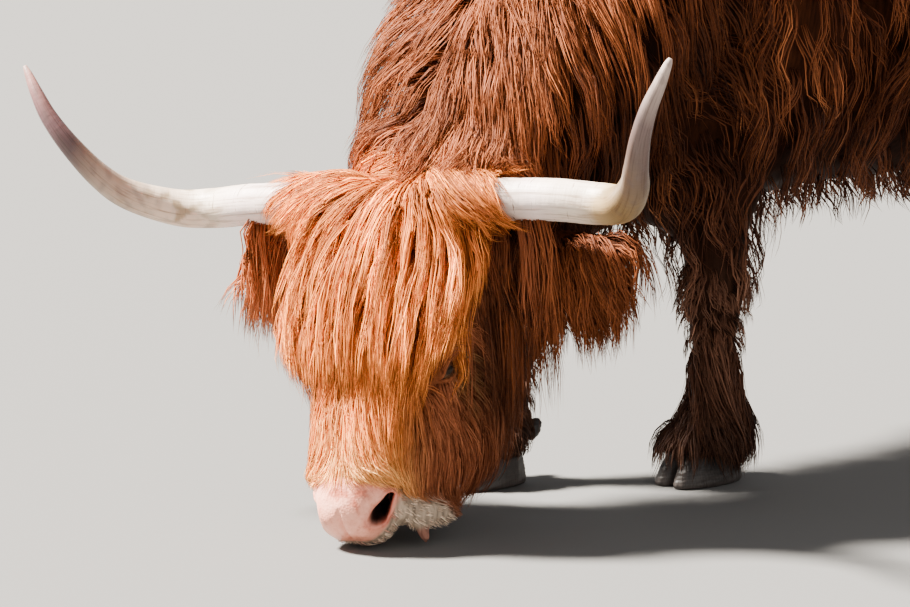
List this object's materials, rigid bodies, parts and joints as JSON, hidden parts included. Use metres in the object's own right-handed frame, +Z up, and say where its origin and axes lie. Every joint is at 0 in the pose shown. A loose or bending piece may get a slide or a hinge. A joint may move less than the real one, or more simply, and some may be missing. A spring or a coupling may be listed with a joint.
{
  "type": "highland cow",
  "caption": "Long-haired, long-horned cow standing with its head down to graze, as a life-size still model on its own hooves.",
  "frame": {"origin": "on the floor, under the middle of the box that holds the whole animal", "axes": "-Y the way the cow faces, +X its left side, +Z up"},
  "size_m": [0.9678, 2.0318, 1.1539],
  "materials": {
    "coat": "long wavy hair, rust red",
    "head_coat": "short dense hair, tan towards the nose",
    "forelock_coat": "long straight fringe, orange gold",
    "ear_coat": "long hanging hair, rust red",
    "leg_coat": "short dense hair, dark brown",
    "nose_skin": "moist bare skin, pink",
    "udder_skin": "fine bare skin",
    "horn": "satin, ringed, darker to the tips",
    "hoof": "satin, fine rings",
    "eye": "glossy, dark"
  },
  "bodies": {
    "root": {"claw_fore_left_left": "hoof", "claw_fore_left_right": "hoof", "claw_fore_right_left": "hoof", "claw_fore_right_right": "hoof", "claw_hind_left_left": "hoof", "claw_hind_left_right": "hoof", "claw_hind_right_left": "hoof", "claw_hind_right_right": "hoof", "dewclaw_fore_left_left": "hoof", "dewclaw_fore_left_right": "hoof", "dewclaw_fore_right_left": "hoof", "dewclaw_fore_right_right": "hoof", "dewclaw_hind_left_left": "hoof", "dewclaw_hind_left_right": "hoof", "dewclaw_hind_right_left": "hoof", "dewclaw_hind_right_right": "hoof", "ear_left": "ear_coat", "ear_right": "ear_coat", "eye_left": "eye", "eye_right": "eye", "fore_left_lower": "leg_coat", "fore_left_upper": "coat", "fore_right_lower": "leg_coat", "fore_right_upper": "coat", "forelock": "forelock_coat", "head": "head_coat", "hind_left_lower": "leg_coat", "hind_left_upper": "coat", "hind_right_lower": "leg_coat", "hind_right_upper": "coat", "horn_left": "horn", "horn_right": "horn", "lower_jaw": "head_coat", "muzzle": "nose_skin", "neck": "coat", "switch": "coat", "tail": "coat", "trunk": "coat", "udder": "udder_skin"}
  },
  "joints": []
}
